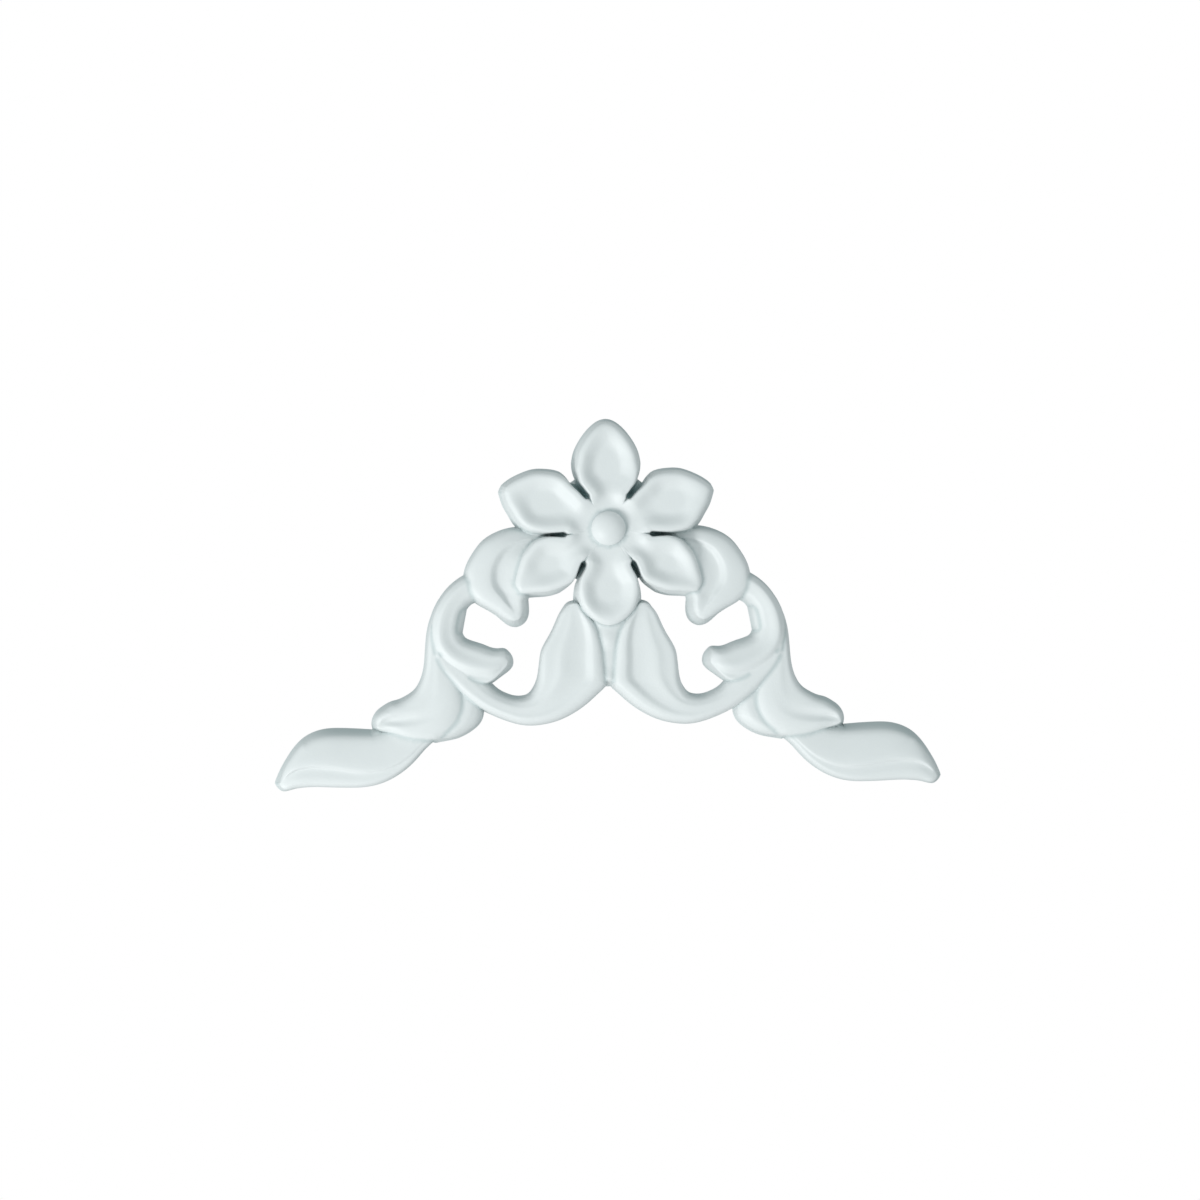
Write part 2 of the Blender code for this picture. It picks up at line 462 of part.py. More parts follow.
def build():
    for item in list(bpy.data.objects):
        bpy.data.objects.remove(item)
    applique = flower("applique", 3, 13, 13)
    others = [
        dome("button", BUTTON_RADIUS, BUTTON_SPRING, BUTTON_TOP, 24, 4),
        dome("slit_floor", SLIT_PLATE_RADIUS, SLIT_PLATE_EDGE, SLIT_FLOOR, 24, 1),
        leaf("web", WEB, WEB_LINES, 10, 2, WEB_SPREAD, WEB_ROUND)]
    for side, mirror in (("left", False), ("right", True)):
        others += [
            leaf(f"crescent_{side}", CRESCENT, CRESCENT_LINES, 17, 2,
                 CRESCENT_SPREAD, CRESCENT_ROUND, mirror),
            leaf(f"scroll_{side}", SCROLL, SCROLL_LINES, 20, 2, SCROLL_SPREAD, SCROLL_ROUND, mirror),
            leaf(f"leaf_{side}", LEAF, LEAF_LINES, 24, 2, LEAF_SPREAD, LEAF_ROUND, mirror),
            leaf(f"stem_{side}", STEM, STEM_LINES, 17, 2, STEM_SPREAD, STEM_ROUND, mirror),
            leaf(f"lobe_{side}", LOBE, LOBE_LINES, 9, 3, LOBE_SPREAD, LOBE_ROUND, mirror),
            leaf(f"tail_{side}", TAIL, TAIL_LINES, 17, 2, TAIL_SPREAD, TAIL_ROUND, mirror)]
    slab = back_slab()
    join(applique, others)
    trim(applique, slab)
    applique.data.materials.append(resin_material())
    settle(applique, [*others, slab])


build()
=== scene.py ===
# Flexible applique: a six-petalled flower over mirrored acanthus scrolls, cast in one piece of
# white resin. The forms are worked out one by one, joined, trimmed flat at the back and softened
# where they meet, as the casting came out of its mould.
import math

import bpy
import numpy as np
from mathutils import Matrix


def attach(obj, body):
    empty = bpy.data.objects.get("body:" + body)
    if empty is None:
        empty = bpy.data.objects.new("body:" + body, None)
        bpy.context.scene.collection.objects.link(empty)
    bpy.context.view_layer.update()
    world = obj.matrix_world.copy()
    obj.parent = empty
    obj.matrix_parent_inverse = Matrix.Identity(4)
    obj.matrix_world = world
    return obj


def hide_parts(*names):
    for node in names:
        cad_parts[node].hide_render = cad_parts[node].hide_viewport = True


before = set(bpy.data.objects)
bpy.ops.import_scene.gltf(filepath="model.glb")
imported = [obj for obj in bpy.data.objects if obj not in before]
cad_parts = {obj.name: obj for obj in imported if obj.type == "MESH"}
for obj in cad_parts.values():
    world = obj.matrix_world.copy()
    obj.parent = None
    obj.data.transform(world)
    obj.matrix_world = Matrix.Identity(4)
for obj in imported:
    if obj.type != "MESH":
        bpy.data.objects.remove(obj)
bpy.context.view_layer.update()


# The crescent leaves lie behind the flower, one on each side. They are cast in white resin with
# the rest, with a fold along the middle where the two lobes of the leaf meet.
MM = 0.001
WALL_SPREAD = 0.45
EDGE_ROUND = 1.1
LEAST_ROUND = 0.05
RIB_GROWTH = 0.35
TIP_LENGTH = 2.5
TIP_FADE = 4.0
EDGE_GATHER = 1.5
CARVING_ROUNDS = 3
CORNER_RUN = 0.5
BACK_OVERRUN = 0.6
FOOT_STEP = 0.05
PAIRS_AT_ONCE = 2000000
forms = []


def curve(points, at):
    """Natural cubic spline through evenly spaced control values, read at fractions 0 to 1."""
    p = np.asarray(points, float)
    if p.ndim == 1:
        p = p[:, None]
    n = len(p)
    if n == 1:
        return np.repeat(p, len(at), axis=0)
    bend = np.zeros_like(p)
    if n > 2:
        system = 4 * np.eye(n - 2) + np.eye(n - 2, k=1) + np.eye(n - 2, k=-1)
        bend[1:-1] = np.linalg.solve(system, 6 * (p[2:] - 2 * p[1:-1] + p[:-2]))
    t = np.clip(at, 0, 1) * (n - 1)
    i = np.minimum(t.astype(int), n - 2)
    f = (t - i)[:, None]
    g = 1 - f
    return g * p[i] + f * p[i + 1] + ((g ** 3 - g) * bend[i] + (f ** 3 - f) * bend[i + 1]) / 6


def rise(t, start, end):
    """From 0 to 1 between two lines: level at a round line, steep at a sharp one."""
    if start == "round" and end == "round":
        return t * t * (3 - 2 * t)
    if start == "round":
        return t * t
    if end == "round":
        return 1 - (1 - t) ** 2
    return t


def edge_distance(plan, path):
    """Distance from each plan point to a path: the least over its segments, where the foot of the
    perpendicular is held between the segment's ends."""
    start, way = path[:-1], np.diff(path, axis=0)
    length = np.maximum(np.sum(way ** 2, axis=1), 1e-12)
    least = np.full(len(plan), np.inf)
    for part in np.array_split(np.arange(len(start)), max(1, len(plan) * len(start) // PAIRS_AT_ONCE)):
        to = plan[:, None, :] - start[part]
        share = np.clip(np.sum(to * way[part], axis=2) / length[part], 0, 1)
        to -= share[:, :, None] * way[part]
        least = np.minimum(least, np.sum(to ** 2, axis=2).min(axis=1))
    return np.sqrt(least)


def edge_fall(distance, radius, reach=np.inf):
    """A quarter circle: how far the surface has dropped at this distance from its edge.

    Where the leaf's half width, its reach, is less than the radius, the circle is narrowed to it.
    """
    inside = np.clip(distance / np.maximum(np.minimum(radius, reach), LEAST_ROUND), 0, 1)
    return radius * (1 - np.sqrt(1 - (1 - inside) ** 2))


def soft(height, times):
    """Rounds a carved grid: a height becomes half itself and a quarter of each neighbour, both ways."""
    for _ in range(times):
        for axis in (0, 1):
            h = np.moveaxis(height, axis, 0).copy()
            h[1:-1] = (h[:-2] + 2 * h[1:-1] + h[2:]) / 4
            height = np.moveaxis(h, 0, axis)
    return height


def carve(lines, at, steps):
    """Places v and heights h over a leaf, rows from root to tip, columns from edge to edge.

    Between one line and the next the height goes by rise(), so that the lines stay as crests,
    folds or soft valleys along the leaf. Columns gather towards both edges by a power.
    """
    place = np.hstack([curve(line[1], at) for line in lines])
    height = np.hstack([curve(line[2], at) for line in lines])
    v, h = [], []
    for k in range(len(lines) - 1):
        f = np.arange(steps) / steps
        if k == 0:
            f = f ** EDGE_GATHER
        if k == len(lines) - 2:
            f = 1 - (1 - f) ** EDGE_GATHER
        v.append(place[:, [k]] + f * (place[:, [k + 1]] - place[:, [k]]))
        lift = rise(f, lines[k][0], lines[k + 1][0])
        h.append(height[:, [k]] + lift * (height[:, [k + 1]] - height[:, [k]]))
    return np.hstack(v + [place[:, -1:]]), np.hstack(h + [height[:, -1:]])


def grid_quads(ids):
    """The quads of a grid whose point numbers are given."""
    return np.stack([ids[:-1, :-1], ids[:-1, 1:], ids[1:, 1:], ids[1:, :-1]], -1).reshape(-1, 4)


def closed_form(name, plan, height, quads, fan, ring, spread, side=1):
    """A closed body: the carved top, its walls that lean outward, and a foot behind the back plane.

    The wall follows the ring of edge points. Each foot point is moved out by its spread, which is
    reached at the back plane, at a right angle to the ring's run over CORNER_RUN before and after
    the point, so that the foot goes round a corner in an even curve. Each form's foot lies a step
    deeper than the one before, so that no two share a plane.
    """
    depth = BACK_OVERRUN + FOOT_STEP * len(forms)
    rim = plan[ring]
    run = np.append(0, np.cumsum(np.linalg.norm(np.roll(rim, -1, axis=0) - rim, axis=1)))
    closed = np.vstack([rim, rim[:1]])
    ahead, behind = [
        np.column_stack([np.interp((run[:-1] + s) % run[-1], run, closed[:, k]) for k in (0, 1)])
        for s in (CORNER_RUN, -CORNER_RUN)]
    along = ahead - behind
    along /= np.maximum(np.linalg.norm(along, axis=1, keepdims=True), 1e-9)
    after = np.roll(rim, -1, axis=0)
    winding = np.sign(np.sum(rim[:, 0] * after[:, 1] - rim[:, 1] * after[:, 0]))
    out = np.column_stack([along[:, 1], -along[:, 0]]) * winding
    foot = rim + out * (np.asarray(spread) * (1 + depth / height[ring]))[:, None]
    points = np.vstack([
        np.column_stack([plan[:, 0], -height, plan[:, 1]]),
        np.column_stack([foot[:, 0], np.full(len(foot), depth), foot[:, 1]])]) * MM
    points[:, 0] *= side
    low = len(plan) + np.arange(len(ring))
    walls = np.stack([ring, np.roll(ring, -1), np.roll(low, -1), low], -1)
    faces = [*quads.tolist(), *fan.tolist(), *walls.tolist(), low.tolist()]
    # The carved top has to look to the front, and a mirrored body or one whose ring runs the
    # other way round is turned the right way
    a, b, c = points[quads[:, 0]], points[quads[:, 1]], points[quads[:, 2]]
    front = np.sum(np.cross(b - a, c - a)[:, 1])
    mesh = bpy.data.meshes.new(name)
    mesh.from_pydata(points.tolist(), [], faces)
    if front > 0:
        mesh.flip_normals()
    item = bpy.data.objects.new(name, mesh)
    bpy.context.scene.collection.objects.link(item)
    forms.append(item)


def leaf(name, ribs, lines, rows, steps, side, spread=((WALL_SPREAD,), (WALL_SPREAD,)),
         radius=((EDGE_ROUND,), (EDGE_ROUND,))):
    """A leaf over its ribs, root to tip: plan = outer edge + v times the way to the inner edge.

    The edges lie RIB_GROWTH beyond the ends of the ribs. Over the last TIP_LENGTH before the tip
    this goes to nothing, and the wall leans out by as much more instead. The height is carve(),
    softened, less a quarter circle along both edges and round the tip. Over the last TIP_FADE
    before the tip the carving fades to its mean height. Spread and radius are given for the outer
    and the inner edge, along the leaf.
    """
    at = np.linspace(0, 1, rows)
    outer = curve([rib[0] for rib in ribs], at)
    inner = curve([rib[1] for rib in ribs], at)
    steps_along = np.linalg.norm(np.diff((outer + inner) / 2, axis=0), axis=1)
    to_tip = np.append(np.cumsum(steps_along[::-1])[::-1], 0)[:, None]
    growth = RIB_GROWTH * rise(np.clip(to_tip / TIP_LENGTH, 0, 1), "sharp", "round")
    way = (inner - outer) / np.linalg.norm(inner - outer, axis=1, keepdims=True)
    outer, inner = outer - growth * way, inner + growth * way
    v, h = carve(lines, at, steps)
    plan = outer[:, None, :] + v[:, :, None] * (inner - outer)[:, None, :]
    edge = np.vstack([plan[:, 0], plan[-1, 1:], plan[-2::-1, -1]])
    plan = plan.reshape(-1, 2)
    mean = h.mean(axis=1, keepdims=True)
    h = mean + (soft(h, CARVING_ROUNDS) - mean) * rise(np.clip(to_tip / TIP_FADE, 0, 1), "round", "round")
    distance = edge_distance(plan, edge).reshape(v.shape)
    one, two = curve(radius[0], at), curve(radius[1], at)
    h -= edge_fall(distance, one + (two - one) * v, distance.max(axis=1, keepdims=True))
    ids = np.arange(v.size).reshape(v.shape)
    ring = np.concatenate([ids[:, 0], ids[-1, 1:], ids[-2::-1, -1], ids[0, -2:0:-1]])
    one, two = curve(spread[0], at), curve(spread[1], at)
    lean = (one + (two - one) * v + RIB_GROWTH - growth).ravel()[ring]
    closed_form(name, plan, h.ravel(), grid_quads(ids), np.empty((0, 3), int), ring, lean, side)


CRESCENT = [
    ((-11.1, -0.1), (-9.6, -3.6)), ((-14.4, -0.2), (-11.6, -4.4)), ((-17.2, -0.2), (-12.9, -5.1)),
    ((-20.0, -0.9), (-13.8, -5.9)), ((-22.6, -2.4), (-14.4, -6.6)), ((-24.4, -4.6), (-14.6, -7.4)),
    ((-25.7, -7.0), (-14.7, -8.3)), ((-26.2, -9.6), (-14.8, -9.4)), ((-25.7, -11.6), (-15.0, -10.5)),
    ((-24.2, -13.2), (-15.1, -11.6)), ((-22.4, -14.3), (-15.8, -12.7)), ((-20.5, -15.4), (-16.0, -13.9)),
    ((-19.3, -16.3), (-16.0, -15.1)), ((-18.4, -16.9), (-16.1, -15.9)), ((-17.7, -17.1), (-16.4, -16.5)),
    ((-17.2, -17.0), (-16.9, -16.9))]
CRESCENT_LINES = [
    ("sharp", (0.0,), (2.6, 4.9, 5.7, 5.8, 5.7, 5.2)),
    ("round", (0.36, 0.34, 0.34, 0.42, 0.44, 0.45), (2.8, 5.8, 6.4, 6.4, 6.0, 5.3)),
    ("round", (0.50, 0.48, 0.48, 0.56, 0.57, 0.55), (2.6, 4.9, 5.4, 5.5, 5.9, 5.3)),
    ("round", (0.84,), (2.8, 5.6, 6.1, 6.1, 5.9, 5.2)),
    ("sharp", (1.0,), (2.6, 5.5, 5.9, 5.9, 5.7, 5.1))]
CRESCENT_SPREAD = ((0.45, 0.45, 0.45, 0.45, 0.9), (0.45, 0.45, 0.45, 1.0, 0.9))
for side in (1, -1):
    leaf("crescent", CRESCENT, CRESCENT_LINES, rows=90, steps=8, side=side, spread=CRESCENT_SPREAD)


# Each scroll is one acanthus branch: an arm that curls round into a hooked lobe, and under that
# lobe the lower arm, which swells into the big leaf beside the centre line.
SCROLL = [
    ((-24.0, -8.1), (-22.6, -12.2)), ((-26.3, -9.0), (-24.2, -12.6)), ((-28.3, -10.3), (-25.8, -13.2)),
    ((-29.9, -11.9), (-26.8, -14.2)), ((-31.2, -13.8), (-27.5, -15.4)), ((-32.1, -15.7), (-27.8, -16.7)),
    ((-32.6, -17.8), (-28.0, -18.1)), ((-32.8, -19.6), (-27.9, -19.2)), ((-32.6, -21.5), (-27.4, -20.3)),
    ((-31.7, -23.5), (-26.4, -21.0)), ((-30.2, -25.3), (-25.1, -21.5)), ((-28.2, -26.7), (-23.7, -22.0)),
    ((-26.1, -27.6), (-22.3, -22.6)), ((-23.9, -28.1), (-20.9, -22.9)), ((-22.2, -28.1), (-19.8, -22.9)),
    ((-20.8, -27.1), (-19.3, -23.2)), ((-19.9, -26.3), (-19.0, -23.6)), ((-19.2, -25.6), (-18.8, -24.1)),
    ((-18.9, -25.1), (-18.8, -24.7))]
SCROLL_LINES = [
    ("sharp", (0.0,), (5.2, 5.3, 5.3, 5.7, 5.2)),
    ("sharp", (0.12, 0.12, 0.16, 0.20, 0.40), (5.45, 5.55, 5.4, 5.35, 5.2)),
    ("round", (0.30, 0.30, 0.34, 0.46, 0.56), (5.7, 6.0, 6.0, 6.4, 5.7)),
    ("round", (0.72, 0.70, 0.66, 0.74, 0.80), (5.4, 5.5, 5.4, 6.1, 5.6)),
    ("sharp", (1.0,), (4.8, 4.8, 4.7, 5.5, 5.4))]
LEAF = [
    ((-32.9, -21.6), (-28.9, -20.7)), ((-32.2, -24.8), (-27.0, -23.5)), ((-29.8, -27.8), (-24.8, -25.9)),
    ((-26.8, -30.6), (-22.9, -28.3)), ((-23.5, -33.0), (-21.1, -30.2)), ((-20.0, -34.7), (-19.0, -31.3)),
    ((-16.2, -35.9), (-17.2, -31.7)), ((-12.5, -35.9), (-15.4, -31.5)), ((-8.8, -34.9), (-14.1, -30.6)),
    ((-5.1, -32.8), (-13.2, -29.0)), ((-2.5, -30.6), (-12.8, -27.6)), ((-0.9, -29.0), (-12.6, -26.2)),
    ((-0.7, -27.2), (-12.4, -24.4)), ((-1.0, -24.4), (-12.0, -22.5)), ((-1.3, -21.8), (-11.0, -20.6)),
    ((-2.0, -19.2), (-9.9, -18.6)), ((-3.1, -17.2), (-8.9, -16.4)), ((-4.4, -15.4), (-8.1, -15.0)),
    ((-5.1, -14.4), (-7.4, -14.1)), ((-5.9, -13.8), (-6.7, -13.8))]
LEAF_LINES = [
    ("sharp", (0.0,), (4.8, 5.0, 5.2, 5.4, 5.3, 5.0)),
    ("round", (0.26, 0.26, 0.24, 0.20, 0.20, 0.30), (5.3, 5.7, 5.9, 6.3, 6.2, 5.5)),
    ("round", (0.42, 0.44, 0.42, 0.35, 0.36, 0.45), (5.3, 5.65, 5.7, 5.5, 5.5, 5.4)),
    ("sharp", (0.58, 0.62, 0.66, 0.69, 0.68, 0.62), (5.2, 5.55, 5.8, 6.1, 5.8, 5.4)),
    ("round", (0.80, 0.82, 0.84, 0.88, 0.86, 0.80), (5.0, 5.3, 5.5, 5.7, 5.6, 5.3)),
    ("sharp", (1.0,), (4.5, 4.7, 4.9, 5.3, 5.3, 5.2))]
SCROLL_SPREAD = ((0.45, 0.45, 0.45, 0.45, 0.8), (0.45, 0.45, 0.45, 0.5, 0.8))
SCROLL_ROUND = ((1.1, 1.1, 0.9, 0.6, 0.7), (1.8, 2.0, 1.9, 1.6, 1.2))
LEAF_SPREAD = ((0.3,), (0.4, 0.4, 0.3, 0.1, 0.1, 0.1))
LEAF_ROUND = ((1.1,), (1.6, 1.8, 1.6, 0.9, 0.8, 0.8))
for side in (1, -1):
    leaf("scroll", SCROLL, SCROLL_LINES, rows=110, steps=7, side=side, spread=SCROLL_SPREAD,
         radius=SCROLL_ROUND)
    leaf("big_leaf", LEAF, LEAF_LINES, rows=190, steps=8, side=side, spread=LEAF_SPREAD,
         radius=LEAF_ROUND)


# A narrow web ties the two big leaves together on the centre line, below the hanging petal.
WEB = [
    ((-3.2, -15.2), (3.2, -15.2)), ((-2.6, -18.0), (2.6, -18.0)), ((-1.7, -21.0), (1.7, -21.0)),
    ((-1.4, -24.0), (1.4, -24.0)), ((-1.2, -26.8), (1.2, -26.8)), ((-0.7, -28.7), (0.7, -28.7))]
WEB_LINES = [
    ("sharp", (0.0,), (5.4,)),
    ("round", (0.5,), (5.7, 5.7, 5.6, 6.1, 5.6, 5.6, 5.5, 6.0, 5.6)),
    ("sharp", (1.0,), (5.4,))]
leaf("web", WEB, WEB_LINES, rows=40, steps=6, side=1)


# On the outside each scroll carries a stem leaf, a small lobe behind it, and the long tail leaf
# that ends the ornament. They get lower towards the tip.
STEM = [
    ((-31.0, -13.3), (-27.0, -14.4)), ((-32.6, -17.1), (-27.8, -18.5)), ((-33.3, -20.8), (-28.4, -22.6)),
    ((-33.6, -24.6), (-28.4, -26.3)), ((-34.2, -27.5), (-27.8, -29.7)), ((-35.4, -29.8), (-27.4, -32.3)),
    ((-37.1, -31.2), (-28.0, -34.9)), ((-38.8, -32.1), (-29.5, -37.1)), ((-40.2, -32.6), (-31.9, -38.6)),
    ((-41.5, -33.4), (-34.7, -39.0)), ((-42.5, -34.2), (-37.6, -38.5)), ((-43.2, -35.2), (-40.3, -37.6)),
    ((-43.4, -36.0), (-42.2, -37.1)), ((-43.4, -36.5), (-43.0, -36.8))]
STEM_LINES = [
    ("sharp", (0.0,), (4.4, 4.7, 4.7, 4.5, 4.2)),
    ("round", (0.14, 0.16, 0.25, 0.14, 0.20), (4.7, 5.1, 5.3, 5.2, 4.6)),
    ("round", (0.34, 0.36, 0.46, 0.30, 0.40), (4.8, 5.3, 5.3, 4.4, 4.5)),
    ("round", (0.62, 0.62, 0.66, 0.55, 0.60), (4.7, 5.2, 5.5, 5.2, 4.6)),
    ("sharp", (1.0,), (4.2, 4.4, 4.5, 4.5, 4.2))]
LOBE = [
    ((-30.3, -28.2), (-24.3, -30.2)), ((-29.9, -30.4), (-24.0, -32.8)), ((-30.1, -32.5), (-24.3, -35.0)),
    ((-30.6, -34.3), (-25.6, -36.6)), ((-31.6, -36.0), (-27.7, -37.9)), ((-32.9, -37.3), (-29.9, -38.6)),
    ((-34.2, -38.2), (-32.3, -38.9))]
LOBE_LINES = [
    ("sharp", (0.0,), (3.6, 3.9, 3.7)),
    ("sharp", (0.66, 0.62, 0.60), (4.3, 4.9, 4.4)),
    ("sharp", (1.0,), (3.6, 3.8, 3.7))]
TAIL = [
    ((-34.0, -34.5), (-32.9, -38.9)), ((-37.2, -36.3), (-34.7, -40.5)), ((-40.1, -37.6), (-36.7, -42.7)),
    ((-43.1, -38.0), (-39.2, -44.8)), ((-46.1, -37.9), (-42.2, -46.4)), ((-48.9, -37.8), (-45.5, -47.2)),
    ((-51.7, -37.8), (-48.9, -47.3)), ((-54.1, -38.2), (-52.2, -47.2)), ((-56.3, -39.2), (-55.0, -47.1)),
    ((-58.0, -40.7), (-57.3, -47.2)), ((-59.3, -42.4), (-58.8, -47.4)), ((-60.5, -44.4), (-60.1, -47.7)),
    ((-61.2, -46.0), (-60.9, -47.7)), ((-61.5, -46.8), (-61.4, -47.2))]
TAIL_LINES = [
    ("sharp", (0.0,), (3.5, 3.7, 3.8, 3.7, 3.2)),
    ("sharp", (0.74, 0.76, 0.62, 0.44, 0.16), (4.1, 4.8, 5.2, 4.9, 3.5)),
    ("round", (0.83, 0.83, 0.69, 0.52, 0.32), (4.0, 4.3, 4.25, 4.05, 3.4)),
    ("round", (0.92, 0.92, 0.86, 0.76, 0.62), (4.0, 4.3, 4.4, 4.3, 3.4)),
    ("sharp", (1.0,), (3.5, 3.8, 3.8, 3.7, 3.2))]
STEM_SPREAD = ((0.45, 0.45, 0.5, 0.7, 0.5), (0.45,))
STEM_ROUND = ((0.9, 0.9, 1.2, 1.2, 0.8), (1.0,))
LOBE_ROUND = ((1.0,), (1.3,))
TAIL_SPREAD = ((0.5, 0.7, 0.8, 0.7, 0.6), (0.2, 0.2, 0.2, 0.2, 0.4))
TAIL_ROUND = ((1.0, 1.0, 1.0, 0.9, 0.7), (0.9, 0.9, 0.8, 0.8, 0.7))
for side in (1, -1):
    leaf("stem", STEM, STEM_LINES, rows=110, steps=7, side=side, spread=STEM_SPREAD,
         radius=STEM_ROUND)
    leaf("lobe", LOBE, LOBE_LINES, rows=40, steps=10, side=side, radius=LOBE_ROUND)
    leaf("tail", TAIL, TAIL_LINES, rows=110, steps=8, side=side, spread=TAIL_SPREAD,
         radius=TAIL_ROUND)


# The flower stands proud in the middle: six dished petals with soft raised rims in one skin,
# slits between them, and a low domed button on the centre.
BUTTON_TOP = 9.0
BUTTON_SPRING = 7.0
BUTTON_RADIUS = 3.2
PETAL_RIM = 7.9
HUB_RIM = 6.8
HUB_RADIUS = 2.2
DISH_FLOOR = 6.5
RIM_PLACE = 0.9
BOWL_REACH = 2.6
RIM_START = 3.6
RIM_CLIMB = 3.4
FLOOR_RUN = 6.0
TIP_DROP = 0.9
FLOWER_REACH = 19.5
SLIT_ROUND = 0.45
PETAL_ROUND = 1.0
ROUND_START = 2.0
ROUND_RUN = 5.0
PETAL_SPREAD = 0.85
UPRIGHT_WALL = 3.0
LEAN_RUN = 4.0
RIM_GATHER = 0.6
LEAST_DISTANCE = 0.01
SLIT_PLATE_RADIUS = 11.0
SLIT_PLATE_EDGE = 1.0
SLIT_FLOOR = 1.2
SLIT_HIGH = (-3.5, 5.6)
SLIT_MID = (-7.7, -1.1)
SLIT_LOW = (-4.5, -6.0)
TOP_PETAL = [
    SLIT_HIGH, (-3.5, 6.2), (-4.0, 6.8), (-4.6, 7.6), (-5.3, 8.5), (-5.7, 9.8), (-5.8, 11.3),
    (-5.6, 12.8), (-5.2, 14.4), (-4.2, 16.3), (-2.9, 18.0), (-1.7, 19.1), (-0.8, 19.6), (-0.15, 19.75)]
LOW_PETAL = [
    SLIT_LOW, (-4.2, -6.5), (-4.3, -7.2), (-4.8, -8.1), (-5.4, -9.2), (-5.7, -10.4), (-5.7, -11.8),
    (-5.5, -13.2), (-5.0, -14.5), (-4.1, -15.8), (-2.7, -17.0), (-1.5, -17.7), (-0.7, -17.95),
    (-0.15, -18.05)]
UPPER_PETAL = [
    (SLIT_MID, SLIT_HIGH), ((-8.1, -0.7), (-4.0, 5.5)), ((-8.9, -0.7), (-4.7, 6.1)),
    ((-10.3, -0.8), (-5.7, 7.2)), ((-11.8, -0.8), (-6.7, 8.1)), ((-13.4, -0.6), (-7.9, 9.3)),
    ((-14.8, -0.2), (-9.6, 10.2)), ((-16.0, 0.6), (-11.5, 10.5)), ((-17.0, 1.8), (-13.4, 10.5)),
    ((-17.8, 3.2), (-15.2, 10.0)), ((-18.6, 4.6), (-17.0, 9.2)), ((-19.1, 6.0), (-18.3, 8.4)),
    ((-19.4, 7.0), (-19.0, 7.8))]
LOWER_PETAL = [
    (SLIT_LOW, SLIT_MID), ((-5.0, -6.3), (-8.1, -1.5)), ((-5.4, -7.1), (-8.9, -1.5)),
    ((-5.8, -8.3), (-10.4, -1.4)), ((-6.4, -9.5), (-11.8, -1.5)), ((-7.9, -10.5), (-13.4, -2.1)),
    ((-9.8, -11.3), (-14.7, -3.3)), ((-11.5, -11.7), (-15.8, -4.7)), ((-13.1, -11.8), (-16.5, -6.3)),
    ((-14.6, -11.9), (-17.0, -7.9)), ((-15.9, -12.0), (-17.4, -9.4)), ((-16.8, -11.8), (-17.4, -10.8))]


def mirrored(ribs):
    """The same petal on the other side, still listed anticlockwise round the flower."""
    return [((-b[0], b[1]), (-a[0], a[1])) for a, b in ribs]


def petal(ribs, neck_rows, rows, columns):
    """Plan points of one petal, from its hub under the button to its tip.

    Rows run outward: first straight lines from the hub to the slits' ends, then the ribs. The
    columns gather at the rims: RIM_GATHER of a half cosine and the rest even.
    """
    ribs = np.array(ribs)
    shares = np.linspace(0, 1, neck_rows)[:-1, None]
    at = np.linspace(0, 1, rows)
    hubs = [p / np.linalg.norm(p) * HUB_RADIUS for p in ribs[0]]
    one = np.vstack([hubs[0] + shares * (ribs[0, 0] - hubs[0]), curve(ribs[:, 0], at)])
    two = np.vstack([hubs[1] + shares * (ribs[0, 1] - hubs[1]), curve(ribs[:, 1], at)])
    wave = (1 - np.cos(np.linspace(0, math.pi, columns))) / 2
    v = RIM_GATHER * wave + (1 - RIM_GATHER) * np.linspace(0, 1, columns)
    return one[:, None, :] + v[None, :, None] * (two - one)[:, None, :]


def petal_height(plan, distance, inward, to_slit):
    """A soft rim along the edges and round the slits' ends, over a bowl.

    From RIM_PLACE inside the edges on, the bowl goes down in an even S. A quarter circle rounds
    the edge off, tighter at the slits. Rim and bowl meet at the button, and the rim drops by the
    fourth power of its distance from the centre.
    """
    out = np.linalg.norm(plan, axis=-1)
    share = rise(np.clip((inward - RIM_PLACE) / BOWL_REACH, 0, 1), "round", "round")
    climb = rise(np.clip((out - RIM_START) / RIM_CLIMB, 0, 1), "round", "round")
    rim = HUB_RIM + (PETAL_RIM - HUB_RIM) * climb - TIP_DROP * (out / FLOWER_REACH) ** 4
    sink = rise(np.clip((out - RIM_START) / FLOOR_RUN, 0, 1), "round", "round")
    bowl = HUB_RIM + (DISH_FLOOR - HUB_RIM) * sink
    radius = SLIT_ROUND + (PETAL_ROUND - SLIT_ROUND) * np.clip((to_slit - ROUND_START) / ROUND_RUN, 0, 1)
    return rim - (rim - bowl) * share - edge_fall(distance, radius)


NECK_ROWS, PETAL_ROWS, PETAL_COLUMNS = 10, 55, 41
around = [
    [((x, z), (-x, z)) for x, z in TOP_PETAL], mirrored(UPPER_PETAL), mirrored(LOWER_PETAL),
    [((-x, z), (x, z)) for x, z in LOW_PETAL], LOWER_PETAL, UPPER_PETAL]
plans = [petal(ribs, NECK_ROWS, PETAL_ROWS, PETAL_COLUMNS) for ribs in around]
outline = np.vstack([
    np.vstack([p[NECK_ROWS - 1:, 0], p[-1, 1:], p[-2:NECK_ROWS - 2:-1, -1]]) for p in plans])
plan = np.array(plans)
distance = edge_distance(plan.reshape(-1, 2), outline).reshape(plan.shape[:3])
